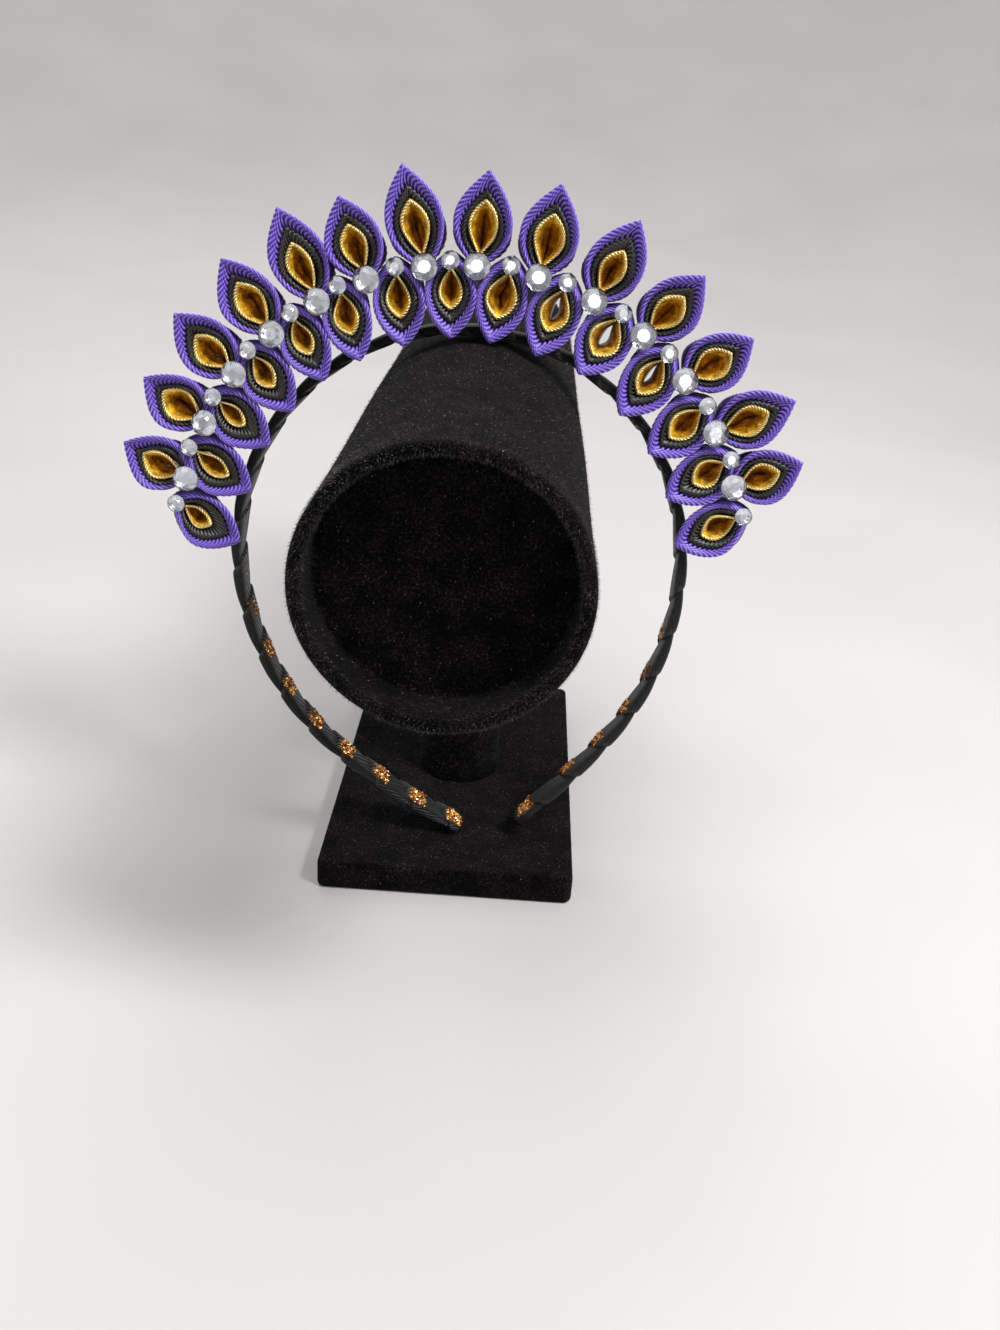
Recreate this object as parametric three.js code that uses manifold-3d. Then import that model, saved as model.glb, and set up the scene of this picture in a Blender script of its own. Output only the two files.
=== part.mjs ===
// A kanzashi headband hanging on a velvet T-bar display stand.
// A ribbon-wound hoop carries two rows of pointed petals, each folded from three ribbons (purple, black
// and gold) that are sealed together at the foot. A clear flat-back stone sits on the foot of every petal.
// Millimetres, +Z up, +X to the wearer's left, the petals facing -Y. The origin is the middle of the
// base's underside.
import * as THREE from "three";
import { mergeVertices } from "three/addons/utils/BufferGeometryUtils.js";
import Module from "manifold-3d";

const wasm = await Module();
wasm.setup();

const WELD = 1e-4;

// Driving dimensions
const CLEARANCE = 0.3;
const BASE = { width: 75, depth: 128, height: 8.8, corner: 2.5, bevel: 0.8, cornerSegments: 2 };
const POST = { radius: 13, sides: 20 };
const ROLL = { radius: 31.2, length: 268, axisHeight: 122.3, wall: 3.2, recess: 12, edge: 1.2, sides: 28 };
const HOOP = { crownRadius: 61.6, width: 9.6, thickness: 3, turn: 8.8, slide: 1, endTaper: 0.82 };
// The flat parts of the hoop's oval section, as shares of its width and of its thickness.
const HOOP_FLAT = { across: 0.78, edge: 0.35 };
const WRAP = { pitch: 13, step: 0.5, stationsPerTurn: 3 };
const HANG = { lean: 7.5, sideShift: -1.8, forward: 30.3 };
const SPRAY = { shift: 0.2, lift: 1 };
const PETAL = { rim: 9.3, back: 0.6, footDip: 2.4, dipReach: 0.52, stations: 7, bow: 0.5 };
const OUTER = { start: 77.5, halfWidth: 7.4, footPower: 0.95, pointPower: 1.08 };
const INNER = { start: 80.5, halfWidth: 7, footPower: 0.85, pointPower: 0.9 };
const LARGE_STONE = { diameter: 6.8, height: 2.6, table: 0.52, girdle: 0.5, seat: 0.7 };
const SMALL_STONE = { diameter: 4.6, height: 1.9, table: 0.52, girdle: 0.4, seat: 1 };
const STONE = { sides: 10, back: 8.95 };

// Half of the hoop's middle line from the crown down: each row is an arc, its radius and sweep in degrees.
const HOOP_ARCS = [
  { radius: HOOP.crownRadius + HOOP.thickness / 2, sweep: 90 },
  { radius: 81.5, sweep: 44 },
  { radius: 172.5, sweep: 10.5 },
];
const HOOP_END_RUN = 9;

const rows = (columns, table) =>
  table.map((cells) => Object.fromEntries(cells.map((cell, i) => [columns[i], cell])));

// Petals by place round the hoop's crown: the foot's angle from straight up, clockwise, the point's angle
// and its radius. The feet of a row share one radius, and its petals one width before they press each other.
const PETAL_COLUMNS = ["foot", "point", "reach"];
const OUTER_PETALS = rows(PETAL_COLUMNS, [
  [-77, -74, 97],
  [-65, -63, 98],
  [-53.5, -52, 100],
  [-42.5, -41, 101],
  [-31.5, -30, 103.5],
  [-21, -21, 100],
  [-9.5, -11, 104],
  [0.5, 1.5, 102],
  [12.5, 12, 102],
  [24, 24.5, 101.5],
  [35.5, 37, 100],
  [47.5, 49, 99],
  [59.5, 60.5, 101],
  [71, 70, 98],
]);
const INNER_PETALS = rows(PETAL_COLUMNS, [
  [-82, -89, 61],
  [-70.5, -75, 60],
  [-59.5, -62, 60],
  [-48, -51, 60],
  [-37, -39.5, 60],
  [-26.5, -29, 59.5],
  [-15, -17, 59],
  [-4.5, -5, 59.5],
  [7, 5, 59],
  [18, 17, 59],
  [30, 29, 60],
  [41.5, 44, 59],
  [54, 56.5, 59.5],
  [65.5, 69, 59.5],
  [77, 82, 60],
]);

// The lines that run round a petal's wall, from the back edge over the three folds to the slit in the
// gold pocket: start after the foot, stop short of the point (both mm), share of the half width, and depth
// below the rim in mm. A line with no depth lies on the petal's back plane.
const PETAL_LINES = rows(["start", "stop", "share", "sink"], [
  [1, 9.8, 0.86, null],
  [0, 0, 1, 0.6],
  [0.7, 1.8, 0.86, 0],
  [1.4, 4, 0.74, 1.1],
  [1.9, 5.2, 0.62, 0.5],
  [2.6, 7.4, 0.48, 1.3],
  [3.1, 8.4, 0.4, 0.9],
  [5, 10.6, 0.12, null],
]);

const COLOURS = {
  velvet: [0x0b0a0b, 0.95, 0],
  ribbonBlack: [0x121013, 0.7, 0],
  purple: [0x4a27a8, 0.62, 0],
  crystal: [0xe9edf5, 0.08, 0],
};
const materials = Object.fromEntries(
  Object.entries(COLOURS).map(([name, [color, roughness, metalness]]) => [
    name,
    new THREE.MeshStandardMaterial({ name, color, roughness, metalness }),
  ]),
);

const radians = THREE.MathUtils.degToRad;

// A closed geometry from rings of points: ring after ring joined, the ends capped or joined to each other.
function loft(rings, closed) {
  const size = rings[0].length;
  const corner = (ring, i) => (ring % rings.length) * size + (i % size);
  const positions = rings.flat().flatMap((p) => [p.x, p.y, p.z]);
  const index = [];
  for (let ring = 0; ring < rings.length - (closed ? 0 : 1); ring++) {
    for (let i = 0; i < size; i++) {
      const a = corner(ring, i);
      const b = corner(ring, i + 1);
      const c = corner(ring + 1, i + 1);
      const d = corner(ring + 1, i);
      index.push(a, b, c, a, c, d);
    }
  }
  if (!closed) {
    for (let i = 1; i < size - 1; i++) {
      const last = rings.length - 1;
      index.push(corner(0, 0), corner(0, i + 1), corner(0, i));
      index.push(corner(last, 0), corner(last, i), corner(last, i + 1));
    }
  }
  const geometry = new THREE.BufferGeometry();
  geometry.setAttribute("position", new THREE.Float32BufferAttribute(positions, 3));
  geometry.setIndex(index);
  geometry.computeVertexNormals();
  return geometry;
}

function toSolid(geometry) {
  const bare = geometry.clone();
  bare.deleteAttribute("normal");
  bare.deleteAttribute("uv");
  const merged = mergeVertices(bare, WELD);
  return new wasm.Manifold(
    new wasm.Mesh({
      numProp: 3,
      vertProperties: new Float32Array(merged.attributes.position.array),
      triVerts: new Uint32Array(merged.index.array),
    }),
  );
}

function fromSolid(solid) {
  const { vertProperties, triVerts } = solid.getMesh();
  const geometry = new THREE.BufferGeometry();
  geometry.setAttribute("position", new THREE.BufferAttribute(vertProperties, 3));
  geometry.setIndex(new THREE.BufferAttribute(triVerts, 1));
  return geometry;
}

function node(name, geometry, material) {
  const mesh = new THREE.Mesh(geometry, material);
  mesh.name = name;
  return mesh;
}

const numbered = (stem, i) => `${stem}_${String(i + 1).padStart(2, "0")}`;

// The display stand: a rounded base board, a round post and a level roll with recessed ends, covered as one.
function standGeometry() {
  const w = BASE.width / 2 - BASE.bevel;
  const d = BASE.depth / 2 - BASE.bevel;
  const c = BASE.corner;
  const outline = new THREE.Shape();
  outline.moveTo(-w + c, -d);
  outline.lineTo(w - c, -d);
  outline.absarc(w - c, -d + c, c, radians(-90), 0);
  outline.absarc(w - c, d - c, c, 0, radians(90));
  outline.absarc(-w + c, d - c, c, radians(90), radians(180));
  outline.absarc(-w + c, -d + c, c, radians(180), radians(270));
  const board = new THREE.ExtrudeGeometry(outline, {
    depth: BASE.height - 2 * BASE.bevel,
    bevelThickness: BASE.bevel,
    bevelSize: BASE.bevel,
    bevelSegments: 1,
    curveSegments: BASE.cornerSegments,
  });
  board.translate(0, 0, BASE.bevel);

  const postHeight = ROLL.axisHeight - BASE.height;
  const post = new THREE.CylinderGeometry(POST.radius, POST.radius, postHeight, POST.sides);
  post.rotateX(radians(90));
  post.translate(0, 0, BASE.height - CLEARANCE + postHeight / 2);

  const half = ROLL.length / 2;
  const bore = ROLL.radius - ROLL.wall;
  const endProfile = [
    [0, half - ROLL.recess],
    [bore, half - ROLL.recess],
    [bore, half - ROLL.edge],
    [bore + ROLL.edge, half],
    [ROLL.radius - ROLL.edge, half],
    [ROLL.radius, half - ROLL.edge],
  ];
  const profile = [
    ...endProfile.map(([r, y]) => new THREE.Vector2(r, -y)),
    ...endProfile.reverse().map(([r, y]) => new THREE.Vector2(r, y)),
  ];
  const roll = new THREE.LatheGeometry(profile, ROLL.sides);
  roll.translate(0, 0, ROLL.axisHeight);

  return fromSolid(toSolid(board).add(toSolid(post)).add(toSolid(roll)));
}

// A place on the hoop's middle line, at a distance from the crown (to the left if negative): the point,
// and the direction out of the hoop. The hoop lies in the XY plane about the crown's centre, +Y up.
function hoopPlace(distance) {
  const side = Math.sign(distance) || 1;
  let left = Math.abs(distance);
  let heading = 0;
  const at = new THREE.Vector2(0, HOOP_ARCS[0].radius);
  for (const { radius, sweep } of HOOP_ARCS) {
    const turn = Math.min(left / radius, radians(sweep));
    at.x += radius * (Math.sin(heading + turn) - Math.sin(heading));
    at.y += radius * (Math.cos(heading + turn) - Math.cos(heading));
    heading += turn;
    left -= turn * radius;
  }
  at.x += left * Math.cos(heading);
  at.y -= left * Math.sin(heading);
  return {
    point: new THREE.Vector3(side * at.x, at.y, 0),
    outward: new THREE.Vector3(side * Math.sin(heading), Math.cos(heading), 0),
  };
}

// The hoop wound with ribbon: a flat oval section that drops by one ribbon's thickness along each turn.
function hoopGeometry() {
  const halfLength =
    HOOP_ARCS.reduce((sum, { radius, sweep }) => sum + radius * radians(sweep), 0) + HOOP_END_RUN;
  const turns = Math.round((2 * halfLength) / WRAP.pitch);
  const stations = turns * WRAP.stationsPerTurn;
  const halfWidth = HOOP.width / 2;
  const halfThick = HOOP.thickness / 2;
  const corners = [
    [-HOOP_FLAT.across, 1],
    [HOOP_FLAT.across, 1],
    [1, HOOP_FLAT.edge],
    [1, -HOOP_FLAT.edge],
    [HOOP_FLAT.across, -1],
    [-HOOP_FLAT.across, -1],
    [-1, -HOOP_FLAT.edge],
    [-1, HOOP_FLAT.edge],
  ];
  const rings = [];
  for (let k = 0; k <= stations; k++) {
    const { point, outward } = hoopPlace((2 * halfLength * k) / stations - halfLength - HOOP.slide);
    const atEnd = k === 0 || k === stations;
    const ring = corners.map(([across, out], i) => {
      const wound = (k / WRAP.stationsPerTurn + i / corners.length) % 1;
      const drop = atEnd ? 0 : WRAP.step * wound;
      const scale = atEnd ? HOOP.endTaper : 1;
      const place = point.clone().addScaledVector(outward, out * (halfThick * scale - drop / 2));
      place.z = across * (halfWidth * scale - drop / 2);
      return place;
    });
    rings.push(ring);
  }
  return loft(rings, false);
}

// A leaf outline from a narrow foot over the belly to the point: the share of its length where it is
// widest, and its width at any share as a part of the widest.
function leafOutline({ footPower, pointPower }) {
  const widest = footPower / (footPower + pointPower);
  const shape = (s) => s ** footPower * (1 - s) ** pointPower;
  return { widest, widthAt: (s) => shape(s) / shape(widest) };
}

// One folded petal along +Y from its foot at the origin, its open front facing +Z: three nested folded walls,
// sealed into one, round a pocket that ends in a slit at the back.
function petalGeometry(length, halfWidth, bow, widthAt) {
  const steps = PETAL.stations + 1;
  const shares = [];
  for (let k = 0; k <= steps; k++) {
    shares.push((1 - Math.cos((Math.PI * k) / steps)) / 2);
  }
  const places = [
    ...shares.map((s) => ({ s, side: -1 })),
    ...shares.slice(1, -1).reverse().map((s) => ({ s, side: 1 })),
  ];
  const rimAt = (y) => {
    const rise = THREE.MathUtils.smoothstep(y / length, 0, PETAL.dipReach);
    return PETAL.rim - PETAL.footDip * (1 - rise);
  };
  const rings = places.map(({ s, side }) =>
    PETAL_LINES.map(({ start, stop, share, sink }) => {
      const y = start + s * (length - start - stop);
      const x = bow * Math.sin((Math.PI * y) / length) + side * halfWidth * share * widthAt(s);
      const z = sink === null ? PETAL.back : rimAt(y) - sink;
      return new THREE.Vector3(x, y, z);
    }),
  );
  return loft(rings, true);
}

const onRing = (angle, radius) =>
  new THREE.Vector3(radius * Math.sin(radians(angle)), radius * Math.cos(radians(angle)), 0);

// A petal's foot, and the way from there to its point.
function petalAxis({ foot, point, reach }, { start }) {
  const from = onRing(foot, start);
  return { from, along: onRing(point, reach).sub(from) };
}

// A row of petals. Neighbours press each other: where two are wider than their room, both give way.
function petalRow(stem, row, shape) {
  const { widest, widthAt } = leafOutline(shape);
  const placed = row.map((petal) => {
    const { from, along } = petalAxis(petal, shape);
    const belly = from.clone().addScaledVector(along, widest);
    return { from, along, belly, lean: Math.sin(radians(petal.point)) };
  });
  const squeeze = (petal, other) =>
    (petal.belly.distanceTo(other.belly) - CLEARANCE) / (2 * shape.halfWidth);
  return placed.map((petal, i) => {
    const neighbours = [placed[i - 1], placed[i + 1]].filter(Boolean);
    const pressed = Math.min(1, ...neighbours.map((other) => squeeze(petal, other)));
    const { from, along } = petal;
    const bow = petal.lean * Math.sign(along.dot(from)) * PETAL.bow;
    const mesh = node(
      numbered(stem, i),
      petalGeometry(along.length(), shape.halfWidth * pressed, bow, widthAt),
      materials.purple,
    );
    mesh.position.copy(from);
    mesh.rotation.z = Math.atan2(-along.x, along.y);
    return mesh;
  });
}

// A flat-back stone: a girdle, a ring of sloping facets and a table, its back on the XY plane.
function stoneGeometry({ diameter, height, table, girdle }) {
  const radius = diameter / 2;
  const profile = [
    [0, 0],
    [radius, 0],
    [radius, girdle],
    [radius * table, height],
    [0, height],
  ].map(([r, y]) => new THREE.Vector2(r, y));
  const stone = new THREE.LatheGeometry(profile, STONE.sides);
  stone.rotateX(radians(90));
  return stone;
}

// A row of stones, one on the foot of each petal, a seat's distance from the foot towards the point.
function stoneRow(stem, row, shape, size) {
  return row.map((petal, i) => {
    const { from, along } = petalAxis(petal, shape);
    const mesh = node(numbered(stem, i), stoneGeometry(size), materials.crystal);
    mesh.position.copy(from).addScaledVector(along.normalize(), size.seat).setZ(STONE.back);
    return mesh;
  });
}

// Assembly: the hoop's crown rests on the roll and the headband leans back.
const hoop = node("wrapped_hoop", hoopGeometry(), materials.ribbonBlack);
hoop.rotation.z = radians(HOOP.turn);

const spray = new THREE.Group();
spray.add(
  ...petalRow("outer_petal", OUTER_PETALS, OUTER),
  ...petalRow("inner_petal", INNER_PETALS, INNER),
  ...stoneRow("large_stone", OUTER_PETALS, OUTER, LARGE_STONE),
  ...stoneRow("small_stone", INNER_PETALS, INNER, SMALL_STONE),
);
spray.position.set(SPRAY.shift, SPRAY.lift, 0);

const headband = new THREE.Group();
headband.add(hoop, spray);
const lean = radians(HANG.lean);
const rollTop = ROLL.axisHeight + ROLL.radius;
const crownDrop = (HOOP.width / 2) * Math.sin(lean) - HOOP.crownRadius * Math.cos(lean);
headband.position.set(HANG.sideShift, -HANG.forward, rollTop + CLEARANCE + crownDrop);
headband.rotation.x = radians(90) - lean;

const part = new THREE.Group();
part.add(node("display_stand", standGeometry(), materials.velvet), headband);

export default part;
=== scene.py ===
import math
import random

import bpy
from mathutils import Euler, Matrix, Vector


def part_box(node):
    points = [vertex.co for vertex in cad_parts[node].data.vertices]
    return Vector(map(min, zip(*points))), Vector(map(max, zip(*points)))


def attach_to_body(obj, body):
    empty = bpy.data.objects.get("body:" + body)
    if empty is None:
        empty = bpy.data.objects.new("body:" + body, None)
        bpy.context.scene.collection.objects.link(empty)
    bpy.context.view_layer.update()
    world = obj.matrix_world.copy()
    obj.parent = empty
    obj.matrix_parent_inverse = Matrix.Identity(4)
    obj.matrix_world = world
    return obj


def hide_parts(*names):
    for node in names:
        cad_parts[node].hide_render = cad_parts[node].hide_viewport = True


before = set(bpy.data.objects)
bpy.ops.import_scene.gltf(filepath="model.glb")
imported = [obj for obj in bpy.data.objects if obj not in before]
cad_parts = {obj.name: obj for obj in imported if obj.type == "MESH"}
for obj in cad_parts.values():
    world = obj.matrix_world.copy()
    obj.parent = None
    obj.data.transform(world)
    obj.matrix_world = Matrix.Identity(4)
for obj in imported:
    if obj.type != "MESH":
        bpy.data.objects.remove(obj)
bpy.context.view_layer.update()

# Camera
# It stands close in front of the petals and above them, looks down, and is tilted a little to one side.
MM = 0.001
CAMERA_PLACE = Vector((13.65, -353.75, 209.77)) * MM
CAMERA_PITCH = math.radians(24.8)
CAMERA_YAW = math.radians(-0.3)
CAMERA_ROLL = math.radians(3.8)
FOCAL_PIXELS = 1195
PHOTO_HEIGHT_PIXELS = 1330
SENSOR_WIDTH = 36.0
NEAREST_SEEN = 0.01

ahead = Vector((
    math.sin(CAMERA_YAW) * math.cos(CAMERA_PITCH),
    math.cos(CAMERA_YAW) * math.cos(CAMERA_PITCH),
    -math.sin(CAMERA_PITCH),
))
level = Vector((math.cos(CAMERA_YAW), -math.sin(CAMERA_YAW), 0))
down = ahead.cross(level)
image_right = level * math.cos(CAMERA_ROLL) - down * math.sin(CAMERA_ROLL)
image_up = -(level * math.sin(CAMERA_ROLL) + down * math.cos(CAMERA_ROLL))
camera = bpy.data.objects.new("camera", bpy.data.cameras.new("camera"))
camera.data.sensor_width = SENSOR_WIDTH
camera.data.lens = SENSOR_WIDTH * FOCAL_PIXELS / PHOTO_HEIGHT_PIXELS
camera.data.clip_start = NEAREST_SEEN
camera.matrix_world = (
    Matrix.Translation(CAMERA_PLACE)
    @ Matrix((image_right, image_up, -ahead)).transposed().to_4x4()
)
bpy.context.scene.collection.objects.link(camera)
bpy.context.scene.camera = camera

# Display stand
# A card roll, a round post and a wooden board, each covered in black velvet that is glued down and folded
# over the roll's ends into a recess. The post's cover meets in an upright seam at the front.
stand_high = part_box("display_stand")[1] / MM
ROLL_RADIUS = 31.2
ROLL_AXIS_HEIGHT = stand_high.z - ROLL_RADIUS
ROLL_HALF_LENGTH = stand_high.y
ROLL_WALL = 3.2
ROLL_RECESS = 12
ROLL_RIM_ROUND = 1.55
ROLL_RIM_STEPS = 8
ROLL_RIM_INSIDE = (4, 1)
ROLL_RECESS_ROUND = 1
ROLL_RECESS_STEPS = 4
ROLL_FLOOR_START = 4
ROLL_FLOOR_MIDDLE = 0.6
ROLL_FLOOR_EDGE = 1.4
ROLL_SIDES = 144
ROLL_ROWS = 26
POST_RADIUS = 13
POST_SIDES = 96
POST_ROWS = 14
POST_INTO_BOARD = 0.5
POST_INTO_ROLL = 4
POST_SWELL_SHARE = 0.5
POST_SEAM_ANGLE = math.radians(-98)
POST_SEAM_WIDTH = math.radians(3)
POST_SEAM_DEPTH = 0.6
BOARD_HALF_WIDTH = stand_high.x
BOARD_HALF_DEPTH = 64
BOARD_HEIGHT = 8.8
BOARD_CORNER = 2.5
BOARD_LEAST_CORNER = 0.3
BOARD_CORNER_STEPS = 5
BOARD_ROUND = 1.3
BOARD_FOOT_STEPS = 4
BOARD_TOP_STEPS = 5
BOARD_TOP_INSETS = (6, 18)
VELVET_SWELL = 0.12
VELVET_SWELL_WAVES = 3
VELVET_SWELL_LENGTH = 19
VELVET_RIPPLE_SHARE = 0.6
VELVET_RIPPLE_WAVES = 5
VELVET_RIPPLE_LENGTH = 31


def piece(name, points, faces):
    """A smooth mesh object at the origin, from points in millimetres in the row frame."""
    mesh = bpy.data.meshes.new(name)
    mesh.from_pydata([Vector(p) * MM for p in points], [], faces)
    mesh.polygons.foreach_set("use_smooth", [True] * len(mesh.polygons))
    mesh.update()
    made = bpy.data.objects.new(name, mesh)
    bpy.context.scene.collection.objects.link(made)
    return made


def join_rings(rings, closed=False):
    """Points and faces of a tube through rings of points. It is capped by fans, or closed on itself."""
    size = len(rings[0])
    points = [p for ring in rings for p in ring]
    faces = []
    for r in range(len(rings) if closed else len(rings) - 1):
        here = r * size
        there = (r + 1) % len(rings) * size
        for i in range(size):
            j = (i + 1) % size
            faces.append((here + i, here + j, there + j, there + i))
    if not closed:
        for ring, start in ((rings[0], 0), (rings[-1], (len(rings) - 1) * size)):
            middle = len(points)
            points.append(sum((Vector(p) for p in ring), Vector()) / size)
            for i in range(size):
                j = (i + 1) % size
                edge = (start + j, start + i) if start == 0 else (start + i, start + j)
                faces.append((middle, *edge))
    return points, faces


def attach(made, slot, *nodes):
    """The piece rides on the one rigid body and stands for the CAD nodes named; its slot is not used."""
    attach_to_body(made, "root")
    if nodes:
        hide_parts(*nodes)


def swell(angle, length):
    """The velvet's small unevenness over the card, in millimetres."""
    broad = math.sin(VELVET_SWELL_WAVES * angle + length / VELVET_SWELL_LENGTH)
    fine = math.sin(VELVET_RIPPLE_WAVES * angle - length / VELVET_RIPPLE_LENGTH)
    return VELVET_SWELL * (broad + VELVET_RIPPLE_SHARE * fine)


def arc(centre_r, centre_h, radius, first, last, steps):
    """Points (radius, height) along part of a circle in a profile, angles in degrees."""
    angles = [math.radians(first + (last - first) * k / steps) for k in range(steps + 1)]
    return [(centre_r + radius * math.cos(a), centre_h + radius * math.sin(a)) for a in angles]


rim_middle = ROLL_RADIUS - ROLL_RIM_ROUND
rim_height = ROLL_HALF_LENGTH - ROLL_RIM_ROUND
bore = ROLL_RADIUS - ROLL_WALL
recess_floor = ROLL_HALF_LENGTH - ROLL_RECESS
floor_radii = (ROLL_FLOOR_START, bore * ROLL_FLOOR_MIDDLE, bore - ROLL_FLOOR_EDGE)
roll_end = [(radius, recess_floor) for radius in floor_radii]
roll_end += arc(
    bore - ROLL_RECESS_ROUND, recess_floor + ROLL_RECESS_ROUND, ROLL_RECESS_ROUND, -90, 0, ROLL_RECESS_STEPS
)
roll_end += [(bore, rim_height - inside) for inside in ROLL_RIM_INSIDE]
roll_end += arc(rim_middle, rim_height, ROLL_RIM_ROUND, 180, 0, ROLL_RIM_STEPS)
roll_profile = [(r, -h) for r, h in roll_end]
roll_profile += [
    (ROLL_RADIUS, -rim_height + 2 * rim_height * k / ROLL_ROWS) for k in range(1, ROLL_ROWS)
]
roll_profile += list(reversed(roll_end))
roll_rings = []
for radius, length in roll_profile:
    ring = []
    for k in range(ROLL_SIDES):
        angle = 2 * math.pi * k / ROLL_SIDES
        r = radius + (swell(angle, length) if radius > bore else 0)
        ring.append((r * math.sin(angle), length, ROLL_AXIS_HEIGHT + r * math.cos(angle)))
    roll_rings.append(ring)
velvet_roll = piece("velvet_roll", *join_rings(roll_rings))

post_rings = []
post_foot = BOARD_HEIGHT - POST_INTO_BOARD
post_head = ROLL_AXIS_HEIGHT - ROLL_RADIUS + POST_INTO_ROLL
for row in range(POST_ROWS + 1):
    height = post_foot + (post_head - post_foot) * row / POST_ROWS
    ring = []
    for k in range(POST_SIDES):
        angle = 2 * math.pi * k / POST_SIDES
        from_seam = math.remainder(angle - POST_SEAM_ANGLE, 2 * math.pi) / POST_SEAM_WIDTH
        r = POST_RADIUS + swell(angle, height) * POST_SWELL_SHARE
        r -= POST_SEAM_DEPTH * math.exp(-from_seam * from_seam)
        ring.append((r * math.cos(angle), r * math.sin(angle), height))
    post_rings.append(ring)
velvet_post = piece("velvet_post", *join_rings(post_rings))


def board_ring(inset, height):
    """One level of the board's outline, with rounded corners."""
    ring = []
    corner = max(BOARD_CORNER - inset, BOARD_LEAST_CORNER)
    for sx, sy, first in ((1, 1, 0), (-1, 1, 90), (-1, -1, 180), (1, -1, 270)):
        cx = sx * (BOARD_HALF_WIDTH - inset - corner)
        cy = sy * (BOARD_HALF_DEPTH - inset - corner)
        for x, y in arc(cx, cy, corner, first, first + 90, BOARD_CORNER_STEPS):
            ring.append((x, y, height))
    return ring


board_edge = arc(0, BOARD_ROUND, BOARD_ROUND, -90, 0, BOARD_FOOT_STEPS)
board_edge += arc(0, BOARD_HEIGHT - BOARD_ROUND, BOARD_ROUND, 0, 90, BOARD_TOP_STEPS)
board_levels = [(BOARD_ROUND - r, h) for r, h in board_edge]
board_levels += [(inset, BOARD_HEIGHT) for inset in BOARD_TOP_INSETS]
velvet_board = piece("velvet_board", *join_rings([board_ring(inset, h) for inset, h in board_levels]))


def finish_nodes(name, **constants):
    """A new material, its node tree, and its surface shader with the constants set on its sockets."""
    made = bpy.data.materials.new(name)
    made.use_nodes = True
    surface = made.node_tree.nodes["Principled BSDF"]
    for socket, value in constants.items():
        surface.inputs[socket.replace("_", " ")].default_value = value
    return made, made.node_tree, surface


def add_node(tree, kind, links=None, **settings):
    """A node in a tree, with its properties set and its inputs linked or given a value."""
    made = tree.nodes.new(kind)
    for key, value in settings.items():
        setattr(made, key, value)
    for key, value in (links or {}).items():
        if isinstance(value, bpy.types.NodeSocket):
            tree.links.new(value, made.inputs[key])
        else:
            made.inputs[key].default_value = value
    return made


def noise(tree, scale, detail=2.0, roughness=0.5):
    """Soft noise on the piece's own coordinates, with so many features to the metre."""
    place = add_node(tree, "ShaderNodeTexCoord").outputs["Object"]
    return add_node(
        tree, "ShaderNodeTexNoise",
        {"Vector": place, "Scale": scale, "Detail": detail, "Roughness": roughness},
    ).outputs["Fac"]


def ramp(tree, factor, *stops):
    """A colour that runs through stops (place, (red, green, blue)) by the factor."""
    made = add_node(tree, "ShaderNodeValToRGB", {"Fac": factor})
    ends = made.color_ramp.elements
    while len(ends) < len(stops):
        ends.new(1.0)
    for element, (place, colour) in zip(ends, stops):
        element.position = place
        element.color = (*colour, 1.0)
    return made.outputs["Color"]


def mixed(tree, share, first, second, **settings):
    """One colour laid over another by a share."""
    return add_node(
        tree, "ShaderNodeMix", {0: share, 6: first, 7: second}, data_type="RGBA", **settings
    ).outputs[2]


def times(tree, first, second):
    """Two colours multiplied."""
    return mixed(tree, 1.0, first, second, blend_type="MULTIPLY")


def paint(tree, surface, colour):
    """The surface takes its colour from that output."""
    tree.links.new(colour, surface.inputs["Base Color"])


def raise_by(tree, surface, height, distance):
    """A fine relief on the surface from a height, in metres."""
    bump = add_node(tree, "ShaderNodeBump", {"Height": height, "Distance": distance})
    tree.links.new(bump.outputs["Normal"], surface.inputs["Normal"])


velvet, tree, surface = finish_nodes(
    "black_velvet", Roughness=0.95, Sheen_Weight=0.03, Sheen_Roughness=0.42,
    Sheen_Tint=(0.62, 0.6, 0.63, 1.0), Specular_IOR_Level=0.03,
)
worn = ramp(
    tree, noise(tree, 130, 6.0, 0.7), (0.4, (0.0017, 0.0014, 0.0015)), (0.7, (0.0115, 0.0094, 0.0098))
)
pile = ramp(
    tree, noise(tree, 1500, 3.0, 0.7),
    (0.45, (0.35, 0.34, 0.35)), (0.56, (1.0, 0.97, 0.98)), (0.7, (5.5, 5.2, 5.3)),
)
paint(tree, surface, times(tree, worn, pile))
raise_by(tree, surface, noise(tree, 2600, 3.0, 0.6), 0.0006)
for made in (velvet_roll, velvet_post, velvet_board):
    made.data.materials.append(velvet)
attach(velvet_roll, "black_velvet", "display_stand")
attach(velvet_post, "black_velvet")
attach(velvet_board, "black_velvet")

# Nap and lint on the velvet
# The velvet's short pile stands up as fuzz, thickest on the folded rims of the roll, and pale specks of
# dust cling to it all over. The fuzz is coloured a lighter grey than the velvet itself, a painted sheen
# on the rims.
NAP_PER_SQUARE_MM = 5.0
NAP_ELSEWHERE = 0.09
NAP_RADIUS = 0.035
NAP_LENGTH = 0.75
NAP_LEAN = 0.7
NAP_RIM_WIDTH = 1
LINT_PER_SQUARE_MM = 0.07
LINT_RADIUS = 0.13
LINT_LENGTH = 0.2
LINT_LEAN = 1.2
SMALLEST_SHARE = 0.3
LARGEST_SHARE = 1.3
CLING_SEED = 7


def new_tree(name, **inputs):
    """An empty Geometry Nodes tree with named inputs: the tree, and its input and output nodes."""
    made = bpy.data.node_groups.new(name, "GeometryNodeTree")
    made.interface.new_socket("Geometry", in_out="INPUT", socket_type="NodeSocketGeometry")
    made.interface.new_socket("Geometry", in_out="OUTPUT", socket_type="NodeSocketGeometry")
    for label, kind in inputs.items():
        made.interface.new_socket(label.replace("_", " "), in_out="INPUT", socket_type="NodeSocket" + kind)
    return made, made.nodes.new("NodeGroupInput"), made.nodes.new("NodeGroupOutput")


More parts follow.
